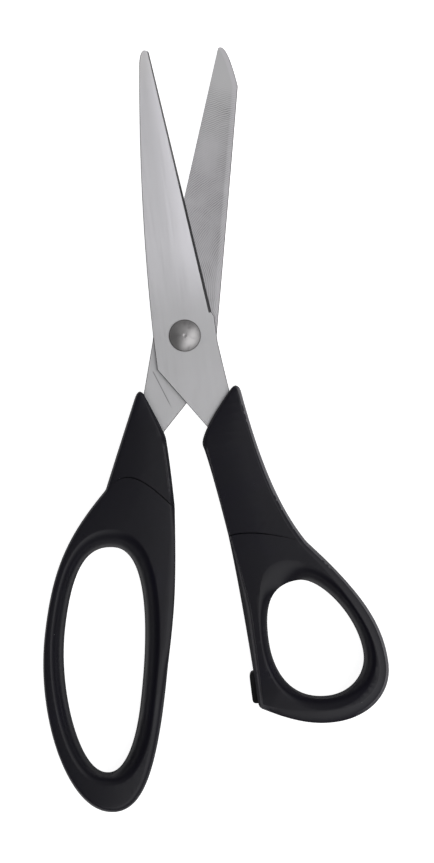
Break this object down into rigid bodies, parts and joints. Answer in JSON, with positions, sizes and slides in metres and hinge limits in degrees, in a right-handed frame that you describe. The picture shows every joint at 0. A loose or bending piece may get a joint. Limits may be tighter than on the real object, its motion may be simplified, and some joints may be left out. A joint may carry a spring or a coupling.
{
  "type": "scissors",
  "caption": "Household scissors with riveted hollow-ground steel blades and black moulded handles, a long finger loop and a round thumb loop, hinged on a domed rivet.",
  "frame": {"origin": "centre of the flat tail of the pivot rivet, on the back of the scissors, on the pivot axis", "axes": "+Z along the pivot axis, out of the front that shows the rivet's head; +Y from the pivot to the tips, midway between the blades; +X towards the thumb loop's side"},
  "size_m": [0.0938, 0.2079, 0.0105],
  "materials": {
    "blade_steel": "satin ground stainless steel",
    "rivet_steel": "turned, lightly polished steel",
    "handle_plastic": "black, fine matte moulding",
    "bumper_rubber": "black, soft"
  },
  "bodies": {
    "finger_half": {"finger_blade": "blade_steel", "finger_collar": "handle_plastic", "finger_loop": "handle_plastic", "pivot_rivet": "rivet_steel", "rivet_washer": "rivet_steel"},
    "thumb_half": {"thumb_blade": "blade_steel", "thumb_collar": "handle_plastic", "thumb_loop": "handle_plastic", "stop_bumper": "bumper_rubber"}
  },
  "joints": [
    {"name": "pivot", "type": "hinge", "parent": "finger_half", "child": "thumb_half", "pos_m": [0, 0, 0.00365], "axis": [0, 0, 1], "range_deg": [-13.7, 101]}
  ]
}
